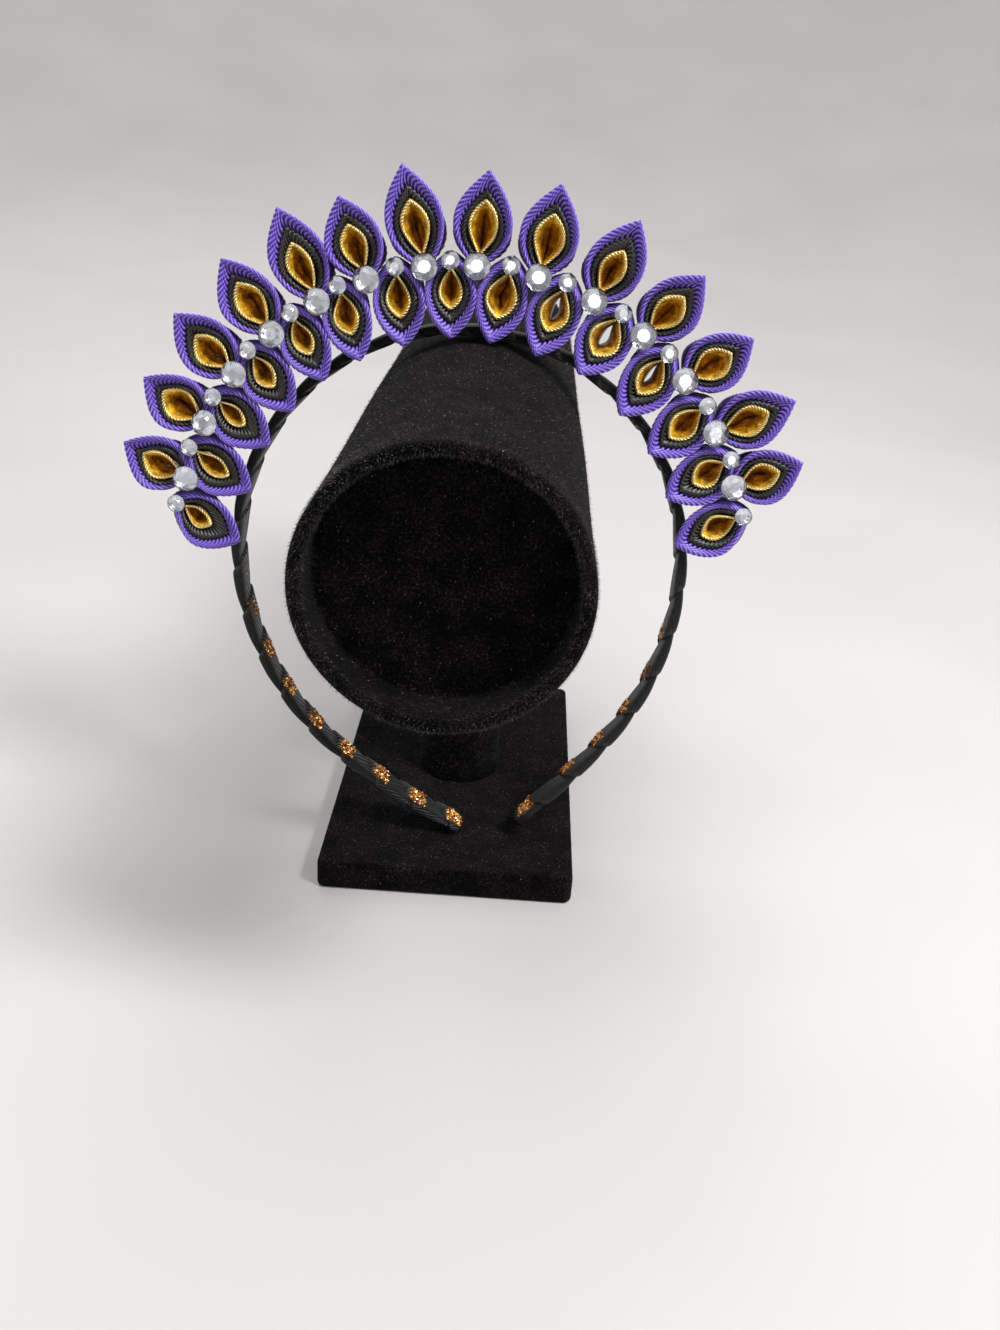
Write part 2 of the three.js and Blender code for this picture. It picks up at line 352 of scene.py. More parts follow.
def grow(made, tree, **values):
    """The tree's result on the object, with its named inputs set, as a plain mesh."""
    modifier = made.modifiers.new(tree.name, "NODES")
    modifier.node_group = tree
    sockets = {s.name: s.identifier for s in tree.interface.items_tree if s.in_out == "INPUT"}
    for label, value in values.items():
        modifier[sockets[label.replace("_", " ")]] = value
    seen = made.evaluated_get(bpy.context.evaluated_depsgraph_get())
    mesh = bpy.data.meshes.new_from_object(seen)
    made.modifiers.remove(modifier)
    made.data = mesh
    mesh.name = made.name
    return made


def chance(tree, low, high, seed):
    """A random number for each point, from low to high."""
    made = add_node(tree, "FunctionNodeRandomValue", {"Seed": seed}, data_type="FLOAT")
    made.inputs[2].default_value = low
    made.inputs[3].default_value = high
    return made.outputs[1]


def math_node(tree, operation, first, second=0.0):
    """One sum on two numbers."""
    return add_node(tree, "ShaderNodeMath", {0: first, 1: second}, operation=operation).outputs[0]


def set_attributes(made, **values):
    """Named numbers on the points of a mesh. Points past the lists, the caps' middles, get the last one."""
    for name, numbers in values.items():
        layer = made.data.attributes.new(name, "FLOAT", "POINT")
        short = len(made.data.vertices) - len(numbers)
        layer.data.foreach_set("value", numbers + [numbers[-1]] * short)


def stored(tree, name, kind="FLOAT"):
    """A named value of the points, for a tree."""
    made = add_node(tree, "GeometryNodeInputNamedAttribute", {"Name": name}, data_type=kind)
    return made.outputs["Attribute"]


def turned_by(tree, rotation, euler):
    """A rotation turned further by three angles about its own axes."""
    further = add_node(tree, "FunctionNodeEulerToRotation", {"Euler": euler}).outputs[0]
    return add_node(
        tree, "FunctionNodeRotateRotation", {"Rotation": rotation, "Rotate By": further},
        rotation_space="LOCAL",
    ).outputs[0]


def real_mesh(tree, geometry, material):
    """The geometry with its instances realized, in that material."""
    real = add_node(tree, "GeometryNodeRealizeInstances", {"Geometry": geometry})
    return add_node(
        tree, "GeometryNodeSetMaterial", {"Geometry": real.outputs["Geometry"], "Material": material}
    ).outputs["Geometry"]


cling_tree, given, result = new_tree(
    "clinging", Density="Float", Radius="Float", Length="Float", Lean="Float", Material="Material"
)
thickness = math_node(cling_tree, "MULTIPLY", given.outputs["Density"], stored(cling_tree, "nap"))
scatter = add_node(
    cling_tree, "GeometryNodeDistributePointsOnFaces",
    {"Mesh": given.outputs["Geometry"], "Seed": CLING_SEED, "Density": thickness},
)
hair = add_node(
    cling_tree, "GeometryNodeMeshCone",
    {
        "Vertices": 3, "Side Segments": 1, "Radius Top": 0.0, "Radius Bottom": given.outputs["Radius"],
        "Depth": given.outputs["Length"],
    },
    fill_type="NONE",
)
lean_angles = add_node(cling_tree, "ShaderNodeCombineXYZ")
for k, axis in enumerate("XY"):
    sideways = chance(cling_tree, -1.0, 1.0, CLING_SEED + k)
    amount = math_node(cling_tree, "MULTIPLY", sideways, given.outputs["Lean"])
    cling_tree.links.new(amount, lean_angles.inputs[axis])
placed = add_node(
    cling_tree, "GeometryNodeInstanceOnPoints",
    {
        "Points": scatter.outputs["Points"],
        "Instance": hair.outputs["Mesh"],
        "Rotation": turned_by(cling_tree, scatter.outputs["Rotation"], lean_angles.outputs[0]),
        "Scale": chance(cling_tree, SMALLEST_SHARE, LARGEST_SHARE, CLING_SEED),
    },
)
hairs = real_mesh(cling_tree, placed.outputs["Instances"], given.outputs["Material"])
cling_tree.links.new(hairs, result.inputs["Geometry"])

fluff, tree, surface = finish_nodes("pale_fluff", Roughness=0.9)
paint(tree, surface, ramp(tree, noise(tree, 300), (0.3, (0.06, 0.055, 0.055)), (0.7, (0.3, 0.28, 0.27))))
# The fuzz is a lighter grey than the velvet under it: real pile, with its sheen painted into the colour.
sheen_painted_fuzz, tree, surface = finish_nodes("velvet_fuzz", Roughness=0.9)
tint = ramp(tree, noise(tree, 300), (0.3, (0.01, 0.009, 0.0092)), (0.7, (0.075, 0.068, 0.067)))
paint(tree, surface, tint)
for made in (velvet_roll, velvet_post, velvet_board):
    on_rim = [
        1.0 if made is velvet_roll and abs(v.co.y) / MM > rim_height - NAP_RIM_WIDTH else NAP_ELSEWHERE
        for v in made.data.vertices
    ]
    off_floor = [1.0 if v.co.z / MM > 2 * NAP_LENGTH else 0.0 for v in made.data.vertices]
    for label, thickest, sizes, cover in (
        ("nap", NAP_PER_SQUARE_MM, (NAP_RADIUS, NAP_LENGTH, NAP_LEAN, sheen_painted_fuzz), on_rim),
        ("lint", LINT_PER_SQUARE_MM, (LINT_RADIUS, LINT_LENGTH, LINT_LEAN, fluff), [1.0] * len(off_floor)),
    ):
        bits = bpy.data.objects.new(made.name.replace("velvet", f"{label}_on"), made.data.copy())
        bpy.context.scene.collection.objects.link(bits)
        set_attributes(bits, nap=[n * free for n, free in zip(cover, off_floor)])
        radius, length, lean, finish = sizes
        grow(
            bits, cling_tree, Density=thickest / MM ** 2, Radius=radius * MM, Length=length * MM, Lean=lean,
            Material=finish,
        )
        attach(bits, "black_velvet")

# Wound hoop
# A flat plastic head hoop wound from end to end with black grosgrain ribbon. Each turn overlaps the last
# in a slanting edge, and on the arms the ribbon's copper glitter comes up once in every turn.
HEADBAND_LEAN = math.radians(7.5)
HOOP_SIDE_SHIFT = -1.8
HOOP_FORWARD = 30.3
HOOP_CLEARANCE = 0.3
HOOP_CROWN_RADIUS = 61.6
HOOP_WIDTH = 9.6
HOOP_THICKNESS = 3
HOOP_TURN = math.radians(8.8)
HOOP_SLIDE = 1
# Half of the hoop's middle line from the crown down: each row is an arc, its radius and its sweep.
HOOP_ARCS = (
    (HOOP_CROWN_RADIUS + HOOP_THICKNESS / 2, math.radians(90)),
    (81.5, math.radians(44)),
    (172.5, math.radians(10.5)),
)
HOOP_END_RUN = 9
WIND_PITCH = 13
WIND_STEP = 0.75
WIND_BULGE = 0.34
WIND_SINK = 0.55
WIND_STATIONS = 30
WIND_SIDES = 28
WIND_ROUNDNESS = 0.48
WIND_END_SHARE = 0.8
WIND_END_TURNS = 0.25
WIND_RIB_ROUND = 25
WIND_RIB_ALONG = 4
GLITTER_START = 0.46
GLITTER_SLANT = 0.9
GLITTER_DRIFT = 0.0045
GLITTER_REACH = 0.13
GLITTER_MIDDLE = 0.74
GLITTER_HALF_LENGTH = 0.22
GLITTER_END_REACH = 0.3
GLITTER_END_PLACE = 0.3
GLITTER_STARTS_BELOW = 2
GLITTER_FULL_AFTER = 45
GLITTER_RADIUS = 0.3
GLITTER_PER_SQUARE_MM = 6
GLITTER_TILT = 0.8
GLITTER_LIFT = 0.13
GLITTER_SMALLEST_SHARE = 0.6
GLITTER_LARGEST_SHARE = 1.3
GLITTER_SEED = 3
WIDEST_SPIN = 6.3
WINDING_RIB = 0.0009
COPPER_GROUND = (0.16, 0.045, 0.006, 1.0)

lean_up = Vector((0, math.sin(HEADBAND_LEAN), math.cos(HEADBAND_LEAN)))
lean_front = Vector((0, -math.cos(HEADBAND_LEAN), math.sin(HEADBAND_LEAN)))
rightwards = Vector((1, 0, 0))
crown_drop = HOOP_WIDTH / 2 * math.sin(HEADBAND_LEAN) - HOOP_CROWN_RADIUS * math.cos(HEADBAND_LEAN)
crown_centre = Vector((HOOP_SIDE_SHIFT, -HOOP_FORWARD, stand_high.z + HOOP_CLEARANCE + crown_drop))


def hoop_place(distance):
    """The hoop's middle line at a distance from the crown, and the way out of the hoop, in its own plane."""
    side = -1 if distance < 0 else 1
    left = abs(distance)
    heading = 0.0
    x = 0.0
    y = HOOP_ARCS[0][0]
    for radius, sweep in HOOP_ARCS:
        turn = min(left / radius, sweep)
        x += radius * (math.sin(heading + turn) - math.sin(heading))
        y += radius * (math.cos(heading + turn) - math.cos(heading))
        heading += turn
        left -= turn * radius
    x += left * math.cos(heading)
    y -= left * math.sin(heading)
    turned = Matrix.Rotation(HOOP_TURN, 2)
    return turned @ Vector((side * x, y)), turned @ Vector((side * math.sin(heading), math.cos(heading)))


def smoothstep(value):
    """An even rise from 0 to 1, flat at both ends."""
    value = min(1.0, max(0.0, value))
    return value * value * (3 - 2 * value)


def rounded(value):
    """A power that squares off a circle's sine or cosine into the flat hoop's section."""
    return math.copysign(abs(value) ** WIND_ROUNDNESS, value)


half_hoop = sum(radius * sweep for radius, sweep in HOOP_ARCS) + HOOP_END_RUN
wind_turns = round(2 * half_hoop / WIND_PITCH)
wind_rings = []
wind_attributes = {"rib": [], "overlap": [], "glitter": []}
for station in range(wind_turns * WIND_STATIONS + 1):
    turn = station / WIND_STATIONS
    place, outward = hoop_place(2 * half_hoop * turn / wind_turns - half_hoop - HOOP_SLIDE)
    to_end = min(turn, wind_turns - turn)
    taper = WIND_END_SHARE + (1 - WIND_END_SHARE) * min(1.0, to_end / WIND_END_TURNS)
    on_arm = smoothstep((-place.y - GLITTER_STARTS_BELOW) / GLITTER_FULL_AFTER)
    ring = []
    for k in range(WIND_SIDES):
        angle = 2 * math.pi * k / WIND_SIDES
        across = rounded(math.sin(angle))
        out = rounded(math.cos(angle))
        wound = (turn - k / WIND_SIDES) % 1.0
        proud = WIND_STEP * wound + WIND_BULGE * math.sin(math.pi * wound) - WIND_SINK
        flat = place + outward * out * (HOOP_THICKNESS / 2 * taper + proud)
        ring.append(
            crown_centre + rightwards * flat.x + lean_up * flat.y
            + lean_front * across * (HOOP_WIDTH / 2 * taper + proud)
        )
        from_patch = math.remainder(k / WIND_SIDES - GLITTER_START - GLITTER_DRIFT * turn, 1.0)
        if turn < wind_turns - 1:
            lengthwise = abs(wound - GLITTER_MIDDLE + GLITTER_SLANT * from_patch)
            reach = GLITTER_REACH
        else:
            lengthwise = abs(wind_turns - turn - GLITTER_END_PLACE)
            reach = GLITTER_END_REACH
        wind_attributes["rib"].append((k / WIND_SIDES * WIND_RIB_ROUND + turn * WIND_RIB_ALONG) * MM)
        wind_attributes["overlap"].append(wound)
        wind_attributes["glitter"].append(
            on_arm * max(0.0, 1 - (from_patch / reach) ** 4)
            * max(0.0, 1 - (lengthwise / GLITTER_HALF_LENGTH) ** 4)
        )
    wind_rings.append(ring)


def attribute(tree, name):
    """A named number of the surface, for a material."""
    return add_node(tree, "ShaderNodeAttribute", attribute_name=name).outputs["Fac"]


wound_hoop = piece("wound_hoop", *join_rings(wind_rings))
set_attributes(wound_hoop, **wind_attributes)
black_winding, tree, surface = finish_nodes(
    "black_winding", Roughness=0.46, Sheen_Weight=0.04, Sheen_Roughness=0.5, Specular_IOR_Level=0.28
)
# The winding is darkest at the foot of each turn's step, a painted shade, and lighter along each turn's
# raised edge, a painted highlight.
cloth_with_painted_step_light = ramp(
    tree, attribute(tree, "overlap"),
    (0.0, (0.0004, 0.0004, 0.0004)), (0.1, (0.004, 0.0036, 0.0036)), (0.86, (0.006, 0.0054, 0.0054)),
    (0.97, (0.03, 0.028, 0.027)),
)
paint(tree, surface, mixed(tree, attribute(tree, "glitter"), cloth_with_painted_step_light, COPPER_GROUND))
ribs = math_node(
    tree, "SINE", math_node(tree, "MULTIPLY", attribute(tree, "rib"), 2 * math.pi / WINDING_RIB)
)
raise_by(tree, surface, ribs, 0.00012)
wound_hoop.data.materials.append(black_winding)
attach(wound_hoop, "black_ribbon", "wrapped_hoop")

glitter_tree, given, result = new_tree(
    "glitter", Density="Float", Radius="Float", Seed="Int", Material="Material"
)
amount = math_node(glitter_tree, "MULTIPLY", given.outputs["Density"], stored(glitter_tree, "glitter"))
scatter = add_node(
    glitter_tree, "GeometryNodeDistributePointsOnFaces",
    {"Mesh": given.outputs["Geometry"], "Density": amount, "Seed": given.outputs["Seed"]},
)
flake = add_node(
    glitter_tree, "GeometryNodeMeshCircle", {"Vertices": 6, "Radius": given.outputs["Radius"]},
    fill_type="NGON",
)
tilt = add_node(glitter_tree, "FunctionNodeRandomValue", {"Seed": GLITTER_SEED}, data_type="FLOAT_VECTOR")
tilt.inputs[0].default_value = (-GLITTER_TILT, -GLITTER_TILT, 0.0)
tilt.inputs[1].default_value = (GLITTER_TILT, GLITTER_TILT, WIDEST_SPIN)
lifted = add_node(
    glitter_tree, "GeometryNodeSetPosition",
    {
        "Geometry": scatter.outputs["Points"],
        "Offset": add_node(
            glitter_tree, "ShaderNodeVectorMath",
            {0: scatter.outputs["Normal"], "Scale": GLITTER_LIFT * MM}, operation="SCALE",
        ).outputs[0],
    },
)
placed = add_node(
    glitter_tree, "GeometryNodeInstanceOnPoints",
    {
        "Points": lifted.outputs["Geometry"],
        "Instance": flake.outputs["Mesh"],
        "Rotation": turned_by(glitter_tree, scatter.outputs["Rotation"], tilt.outputs[0]),
        "Scale": chance(glitter_tree, GLITTER_SMALLEST_SHARE, GLITTER_LARGEST_SHARE, GLITTER_SEED),
    },
)
flakes = real_mesh(glitter_tree, placed.outputs["Instances"], given.outputs["Material"])
glitter_tree.links.new(flakes, result.inputs["Geometry"])

copper_flake, tree, surface = finish_nodes("copper_flake", Metallic=0.9, Roughness=0.24)
tint = ramp(
    tree, noise(tree, 1500),
    (0.3, (0.8, 0.26, 0.04)), (0.5, (1.0, 0.5, 0.13)), (0.72, (1.0, 0.82, 0.5)),
)
paint(tree, surface, tint)
hoop_glitter = bpy.data.objects.new("hoop_glitter", wound_hoop.data.copy())
bpy.context.scene.collection.objects.link(hoop_glitter)
grow(
    hoop_glitter, glitter_tree, Density=GLITTER_PER_SQUARE_MM / MM ** 2, Radius=GLITTER_RADIUS * MM,
    Seed=GLITTER_SEED, Material=copper_flake,
)
attach(hoop_glitter, "gold_ribbon")

# Petals
# Each petal is three grosgrain ribbon squares, purple, black and gold, folded to a point one inside the
# other and sealed together at the foot. The walls open to the front, each a little deeper than the last.
SPRAY_SHIFT = 0.2
SPRAY_LIFT = 1
PETAL_SIDE_STEPS = 94
PETAL_GAP_STEPS = 2
NOMINAL_LENGTH = 22.5
FOOT_DIP = 2.4
DIP_REACH = 0.52
FULL_DEPTH = 8.7
PETAL_SPREAD = 1.03
LEAF_POWERS = {"outer": (0.95, 1.08), "inner": (0.85, 0.9)}
POCKET_POWERS = {"outer": (1.25, 0.95), "inner": (1.25, 0.9)}
FOOT_TAIL = {"outer": 0.0, "inner": 2.2}
OPEN_SLITS = {"inner_petal_10": 0.1, "inner_petal_11": 0.12, "inner_petal_12": 0.06}
RIB_PITCH = {"purple": 1.5, "black": 1.3, "gold": 0.9}
RIB_HEIGHT = {"purple": 0.52, "black": 0.55, "gold": 0.36}
RIB_TWIST = {"purple": -1.5, "black": -1.4, "gold": -0.9}
CREST_ROW = {"purple": 8, "black": 4, "gold": 4}
RIB_DEPTH = {"purple": FULL_DEPTH, "black": 3.6, "gold": 1.6}
RIM_WIDTH = 0.8
RIPPLE_SHARE = 0.014
RIPPLE_BENDS = 9
RIM_WAVE = 0.16
RIM_BENDS = 7
SWAY = 0.8
SWAY_BENDS = 1.4 * math.pi
POCKET_PULL = {"purple": 0.0, "black": 0.6, "gold": 1.0}
END_CROWDING = 0.55
FOOT_TAIL_DEPTH = 3
BLACK_FOLLOWS_OVER = 4
RIB_FADE = 0.8
RIB_BASE = 0.6

# The pocket of each petal, from left to right: its width against the usual one, how far it sits to the
# side, and how much further than usual it stays from the point, both in millimetres.
POCKETS = {
    "outer": (
        (1.0, -0.5, -0.8), (1.2, -0.1, -0.6), (1.08, -0.2, 0.4), (1.1, 0.0, -0.4), (0.9, -0.4, 0.8),
        (0.95, -0.3, 0.0), (0.98, 0.0, 0.2), (1.02, 0.2, -0.6), (1.1, 0.25, -0.4), (0.9, -0.1, 0.8),
        (1.05, 0.0, 0.2), (1.15, 0.0, -0.2), (1.1, 0.2, 0.0), (1.0, -0.3, 0.0),
    ),
    "inner": (
        (0.72, 0.0, 2.5), (0.75, 0.3, 0.5), (0.68, 0.0, 2.0), (0.85, 0.0, 1.5), (0.9, 0.3, 1.2),
        (1.05, 0.0, 0.3), (0.95, 0.2, 0.5), (0.95, 0.0, 0.8), (1.28, 0.3, -0.4), (1.15, 0.0, 0.0),
        (1.25, 0.0, -0.4), (1.05, 0.0, 0.5), (1.05, 0.2, 0.3), (1.05, 0.3, 1.5), (0.95, 0.2, 1.0),
    ),
}

# The lines that run round each ribbon's wall from its back edge over the fold and down inside: start after
# the foot and stop short of the point for a petal of the nominal length, share of the half width, and depth
# below the rim.
FOLD_LINES = {
    "purple": (
        (1.0, 9.8, 0.9, FULL_DEPTH),
        (0.6, 6.8, 0.97, 5.4),
        (0.4, 4.6, 1.0, 3.9),
        (0.45, 3.9, 0.985, 3.2),
        (0.5, 2.9, 0.93, 2.45),
        (0.2, 1.2, 0.985, 1.7),
        (0.0, 0.3, 1.0, 1.0),
        (0.0, 0.2, 0.985, 0.35),
        (0.3, 0.8, 0.945, 0.0),
        (0.65, 1.8, 0.885, 0.15),
        (1.0, 2.9, 0.82, 0.75),
        (1.5, 4.2, 0.745, 1.8),
        (2.2, 6.2, 0.6, 3.9),
        (3.4, 9.8, 0.4, FULL_DEPTH),
    ),
    "black": (
        (3.6, 9.9, 0.37, FULL_DEPTH),
        (2.4, 6.6, 0.57, 4.1),
        (1.75, 4.5, 0.71, 2.1),
        (1.65, 4.3, 0.725, 1.4),
        (1.9, 4.9, 0.68, 0.9),
        (2.3, 5.9, 0.6, 1.05),
        (2.6, 6.7, 0.535, 1.9),
        (2.9, 7.5, 0.49, 3.0),
        (3.4, 8.6, 0.4, 4.4),
        (4.0, 9.8, 0.3, 5.2),
    ),
    "gold": (
        (4.2, 10.2, 0.25, FULL_DEPTH),
        (3.3, 8.8, 0.4, 3.6),
        (2.7, 7.3, 0.5, 2.1),
        (2.7, 7.2, 0.5, 1.4),
        (2.95, 7.6, 0.455, 1.0),
        (3.3, 8.2, 0.405, 1.3),
        (3.6, 8.8, 0.35, 2.4),
        (4.0, 9.5, 0.27, 4.2),
        (4.5, 10.2, 0.17, 5.6),
        (5.2, 11.0, 0.0, 6.3),
    ),
}


def smooth_rows(rows, steps):
    """Rows of numbers with more rows between them, on a smooth curve through them all."""
    out = []
    for i in range(len(rows) - 1):
        before, a, b, after = rows[max(i - 1, 0)], rows[i], rows[i + 1], rows[min(i + 2, len(rows) - 1)]
        for k in range(steps):
            t = k / steps
            out.append(tuple(
                q + 0.5 * t * (r - p + t * (2 * p - 5 * q + 4 * r - s + t * (3 * q - p - 3 * r + s)))
                for p, q, r, s in zip(before, a, b, after)
            ))
    return out + [rows[-1]]


def leaf(share, powers):
    """A petal outline's half width at a share of its length, from the narrow foot to the point."""
    foot_power, point_power = powers
    widest = foot_power / (foot_power + point_power)
    shape = share ** foot_power * (1 - share) ** point_power
    return shape / (widest ** foot_power * (1 - widest) ** point_power)


spray_centre = crown_centre + rightwards * SPRAY_SHIFT + lean_up * SPRAY_LIFT


def petal_place(name, row):
    """A petal's own axes and sizes in millimetres, read from its CAD node."""
    points = [v.co / MM - spray_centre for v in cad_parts[name].data.vertices]
    flat = [Vector((p.dot(rightwards), p.dot(lean_up))) for p in points]
    flat.sort(key=lambda p: p.length, reverse=row == "inner")
    foot, point = flat[0], flat[-1]
    along = rightwards * (point - foot).x + lean_up * (point - foot).y
    length = along.length
    along = along / length
    side = along.cross(lean_front)
    origin = spray_centre + rightwards * foot.x + lean_up * foot.y
    off_axis = [(spray_centre + p - origin).dot(side) for p in points]
    depths = [p.dot(lean_front) for p in points]
    return {
        "origin": origin, "along": along, "side": side, "length": length,
        "half_width": (max(off_axis) - min(off_axis)) / 2 * PETAL_SPREAD,
        "bow": (max(off_axis) + min(off_axis)) / 2,
        "back": min(depths), "rim": max(depths),
    }


def petal_lines(name, row, ribbon, pocket):
    """The ribbon's lines for one petal, with its own pocket."""
    wide, _, short = pocket
    crest = CREST_ROW[ribbon]
    rows = []
    for i, (start, stop, part, depth) in enumerate(FOLD_LINES[ribbon]):
        if ribbon == "purple":
            tail = FOOT_TAIL[row] * smoothstep(depth / FOOT_TAIL_DEPTH) if i < crest else 0.0
            rows.append((start - tail, stop, part, depth))
        elif ribbon == "black":
            inside = smoothstep((i - crest) / BLACK_FOLLOWS_OVER)
            rows.append((start, stop + short * inside, part * (1 + (wide - 1) * inside), depth))
        else:
            rows.append((start, stop + short, part * wide, depth))
    if ribbon == "gold" and name in OPEN_SLITS:
        rows[-1] = (*rows[-1][:2], OPEN_SLITS[name], FULL_DEPTH)
    return smooth_rows(rows, PETAL_GAP_STEPS)


def fold_wall(name, row, ribbon, place, pocket, luck):
    """One ribbon's wall of one petal, with the numbers that its ribs and its finish read."""
    scale = place["length"] / NOMINAL_LENGTH
    lines = petal_lines(name, row, ribbon, pocket)
    powers = POCKET_POWERS[row] if ribbon == "gold" else LEAF_POWERS[row]
    crest = CREST_ROW[ribbon] * PETAL_GAP_STEPS
    drift = POCKET_PULL[ribbon] * pocket[1]
    wave = luck.uniform(0, 2 * math.pi)
    sway = luck.uniform(-SWAY, SWAY)
    steps = [k / PETAL_SIDE_STEPS for k in range(PETAL_SIDE_STEPS + 1)]
    shares = [
        (1 - END_CROWDING) * t + END_CROWDING * (1 - math.cos(math.pi * t)) / 2 for t in steps
    ]
    stations = [(s, -1) for s in shares] + [(s, 1) for s in reversed(shares[1:-1])]
    local_rings = []
    for share, hand in stations:
        ring = []
        ripple = 1 + RIPPLE_SHARE * math.sin(RIPPLE_BENDS * share + wave + hand)
        lift = RIM_WAVE * math.sin(RIM_BENDS * share - wave * hand)
        for start, stop, part, depth in lines:
            y = scale * start + share * (place["length"] - scale * (start + stop))
            middle = place["bow"] * math.sin(math.pi * y / place["length"])
            bend = sway * (1 - part) ** 2 * math.cos(SWAY_BENDS * share)
            middle += (drift + bend) * math.sin(math.pi * share)
            x = middle + hand * place["half_width"] * part * leaf(share, powers) * ripple
            rim = place["rim"] - FOOT_DIP * (1 - smoothstep(y / place["length"] / DIP_REACH)) + lift
            z = rim - depth / FULL_DEPTH * (rim - place["back"])
            ring.append(Vector((x, y, z)))
        local_rings.append(ring)
    along = 0.0
    rib = []
    rim_share = []
    rings = []
    for i, ring in enumerate(local_rings):
        along += (ring[crest] - local_rings[i - 1][crest]).length if i else 0.0
        across = [0.0]
        for a, b in zip(ring, ring[1:]):
            across.append(across[-1] + (b - a).length)
        rib += [(along + RIB_TWIST[ribbon] * (d - across[crest])) * MM for d in across]
        rim_share += [math.exp(-((d - across[crest]) / RIM_WIDTH) ** 2) for d in across]
        rings.append([
            place["origin"] + place["side"] * p.x + place["along"] * p.y + lean_front * p.z for p in ring
        ])
    hollow_at = RIB_DEPTH[ribbon]
    cover = [
        smoothstep(min(share, 1 - share) * place["length"] / RIB_FADE) * (1 - smoothstep(depth - hollow_at))
        for share, _ in stations for *_, depth in lines
    ]
    deep = [depth / FULL_DEPTH for _ in stations for *_, depth in lines]
    made = piece(f"{name}_{ribbon}", *join_rings(rings, closed=True))
    set_attributes(made, rib=rib, cover=cover, rim=rim_share, deep=deep)
    return made


rib_tree, given, result = new_tree(
    "ribbon_ribs", Rib_pitch="Float", Rib_height="Float", Material="Material"
)
count = math_node(rib_tree, "DIVIDE", stored(rib_tree, "rib"), given.outputs["Rib pitch"])
wave = math_node(rib_tree, "SINE", math_node(rib_tree, "MULTIPLY", count, math.pi))
ridge = math_node(rib_tree, "MULTIPLY", wave, wave)
proud = math_node(rib_tree, "SUBTRACT", ridge, RIB_BASE)
covered = math_node(rib_tree, "MULTIPLY", proud, stored(rib_tree, "cover"))
rise = math_node(rib_tree, "MULTIPLY", covered, given.outputs["Rib height"])
normal = add_node(rib_tree, "GeometryNodeInputNormal")
offset = add_node(
    rib_tree, "ShaderNodeVectorMath", {0: normal.outputs["Normal"], "Scale": rise}, operation="SCALE"
)
ribbed = add_node(
    rib_tree, "GeometryNodeSetPosition",
    {"Geometry": given.outputs["Geometry"], "Offset": offset.outputs[0]},
)
marked = add_node(
    rib_tree, "GeometryNodeStoreNamedAttribute",
    {"Geometry": ribbed.outputs["Geometry"], "Name": "ridge", "Value": ridge},
    data_type="FLOAT", domain="POINT",
)
ribbon_wall = real_mesh(rib_tree, marked.outputs["Geometry"], given.outputs["Material"])
rib_tree.links.new(ribbon_wall, result.inputs["Geometry"])

purple_ribbon, tree, surface = finish_nodes(
    "purple_ribbon", Roughness=0.46, Sheen_Weight=0.12, Sheen_Roughness=0.4, Specular_IOR_Level=0.4
)
# The purple runs from near black in the grooves between the ribs to pale on their crests: the ribbon's dye
# with painted shade in the grooves and painted highlights on the crests.
dye_and_painted_rib_light = ramp(
    tree, attribute(tree, "ridge"),
    (0.0, (0.007, 0.0015, 0.05)), (0.4, (0.062, 0.025, 0.28)), (1.0, (0.33, 0.215, 0.8)),
)
shade = ramp(tree, attribute(tree, "deep"), (0.1, (1.0, 1.0, 1.0)), (0.42, (0.22, 0.2, 0.3)))
paint(tree, surface, times(tree, dye_and_painted_rib_light, shade))
raise_by(tree, surface, noise(tree, 3500, 2.0), 0.00004)

black_ribbon, tree, surface = finish_nodes("black_ribbon", Roughness=0.38, Specular_IOR_Level=0.45)
# The black runs from deepest black in the grooves to light grey on the rib crests: painted shade in the
# grooves and painted highlights on the crests, over the ribbon's black.
dye_and_painted_rib_light = ramp(
    tree, attribute(tree, "ridge"),
    (0.15, (0.0006, 0.0006, 0.0006)), (0.62, (0.005, 0.0047, 0.0044)), (1.0, (0.12, 0.115, 0.105)),
)
paint(tree, surface, dye_and_painted_rib_light)
raise_by(tree, surface, noise(tree, 3500, 2.0), 0.00004)

gold_ribbon, tree, surface = finish_nodes(
    "gold_ribbon", Metallic=0.6, Roughness=0.36, Specular_IOR_Level=0.6
)
sparkle = add_node(
    tree, "ShaderNodeTexVoronoi",
    {"Vector": add_node(tree, "ShaderNodeTexCoord").outputs["Object"], "Scale": 2600.0},
)
grain = add_node(tree, "ShaderNodeSeparateColor", {"Color": sparkle.outputs["Color"]}).outputs["Red"]
# The gold goes from bright yellow near the rim to dark brown deep in the pocket, a painted shade.
gold_with_painted_depth_shade = ramp(
    tree, attribute(tree, "deep"),
    (0.12, (0.95, 0.62, 0.06)), (0.4, (0.85, 0.48, 0.025)), (0.6, (0.45, 0.19, 0.006)),
    (0.72, (0.16, 0.05, 0.002)),
)
glint = ramp(tree, grain, (0.0, (0.6, 0.6, 0.6)), (0.85, (1.0, 1.0, 1.0)), (1.0, (1.7, 1.6, 1.4)))
# Broad lighter and darker patches, a painted satin sheen; with the painted glints and the painted depth
# shade it makes the pocket's colour.
painted_satin_sheen = ramp(
    tree, noise(tree, 480, 3.0),
    (0.34, (0.45, 0.4, 0.36)), (0.5, (1.0, 1.0, 1.0)), (0.64, (1.7, 1.75, 1.9)),
)
satin_with_painted_light = times(tree, times(tree, gold_with_painted_depth_shade, glint), painted_satin_sheen)
